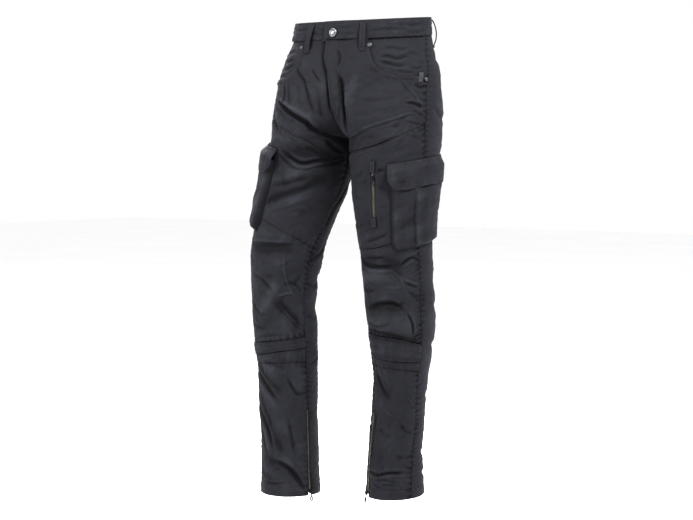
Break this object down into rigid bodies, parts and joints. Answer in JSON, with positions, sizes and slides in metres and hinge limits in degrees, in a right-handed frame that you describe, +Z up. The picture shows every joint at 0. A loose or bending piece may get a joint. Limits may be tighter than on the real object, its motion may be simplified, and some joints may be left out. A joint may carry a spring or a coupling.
{
  "type": "motorcycle trousers",
  "caption": "Dark charcoal motorcycle trousers with cargo pockets, a thigh zip pocket, pre-bent banded knees and zipped hems, hollow as worn.",
  "frame": {"origin": "centre of the waist opening, in the middle of the waistband's height, where the wearer's waist holds it", "axes": "+Z up the body out of the waist opening, -Y to the wearer's front, +X to the wearer's left"},
  "size_m": [0.4466, 0.2974, 1.0887],
  "materials": {
    "twill": "dark charcoal cotton twill, soft sheen",
    "bright_metal": "polished nickel",
    "zip_metal": "dull antique teeth",
    "dark_metal": "satin dark",
    "tag": "plain woven tape"
  },
  "bodies": {
    "trousers": {"hip_front_L": "twill", "pocket_facing_L": "twill", "thigh_front_L": "twill", "knee_front_L": "twill", "knee_band_L": "twill", "knee_strip_L": "twill", "shin_front_L": "twill", "back_L": "twill", "inner_panel_L": "twill", "cargo_body_L": "twill", "cargo_flap_L": "twill", "hip_front_R": "twill", "pocket_facing_R": "twill", "thigh_front_R": "twill", "knee_front_R": "twill", "knee_band_R": "twill", "knee_strip_R": "twill", "shin_front_R": "twill", "back_R": "twill", "inner_panel_R": "twill", "cargo_body_R": "twill", "cargo_flap_R": "twill", "fly_edge": "twill", "waistband": "twill", "belt_loop_1": "twill", "belt_loop_2": "twill", "belt_loop_3": "twill", "belt_loop_4": "twill", "belt_loop_5": "twill", "waist_button": "bright_metal", "rivet_1": "bright_metal", "rivet_2": "bright_metal", "rivet_3": "bright_metal", "rivet_4": "bright_metal", "thigh_zip_chain": "zip_metal", "hem_zip_chain_L": "zip_metal", "hem_zip_chain_R": "zip_metal", "thigh_zip_garage_top": "twill", "thigh_zip_garage_bottom": "twill", "thigh_zip_slider": "dark_metal", "hem_zip_L_slider": "bright_metal", "hem_zip_R_slider": "bright_metal", "pocket_tag": "tag"},
    "thigh_pull": {"thigh_zip_pull": "dark_metal"},
    "hem_pull_L": {"hem_zip_L_pull": "bright_metal"},
    "hem_pull_R": {"hem_zip_R_pull": "bright_metal"}
  },
  "joints": [
    {"name": "thigh_pull_hinge", "type": "hinge", "parent": "trousers", "child": "thigh_pull", "pos_m": [0.10739, -0.12063, -0.32756], "axis": [-0.9835, -0.1554, -0.093], "range_deg": [0, 150]},
    {"name": "hem_pull_L_hinge", "type": "hinge", "parent": "trousers", "child": "hem_pull_L", "pos_m": [0.01932, -0.01748, -1.03609], "axis": [-0.8217, 0.5691, 0.0304], "range_deg": [0, 150]},
    {"name": "hem_pull_R_hinge", "type": "hinge", "parent": "trousers", "child": "hem_pull_R", "pos_m": [-0.07908, -0.09112, -1.03273], "axis": [-0.2068, -0.9784, -0.0051], "range_deg": [0, 150]}
  ]
}
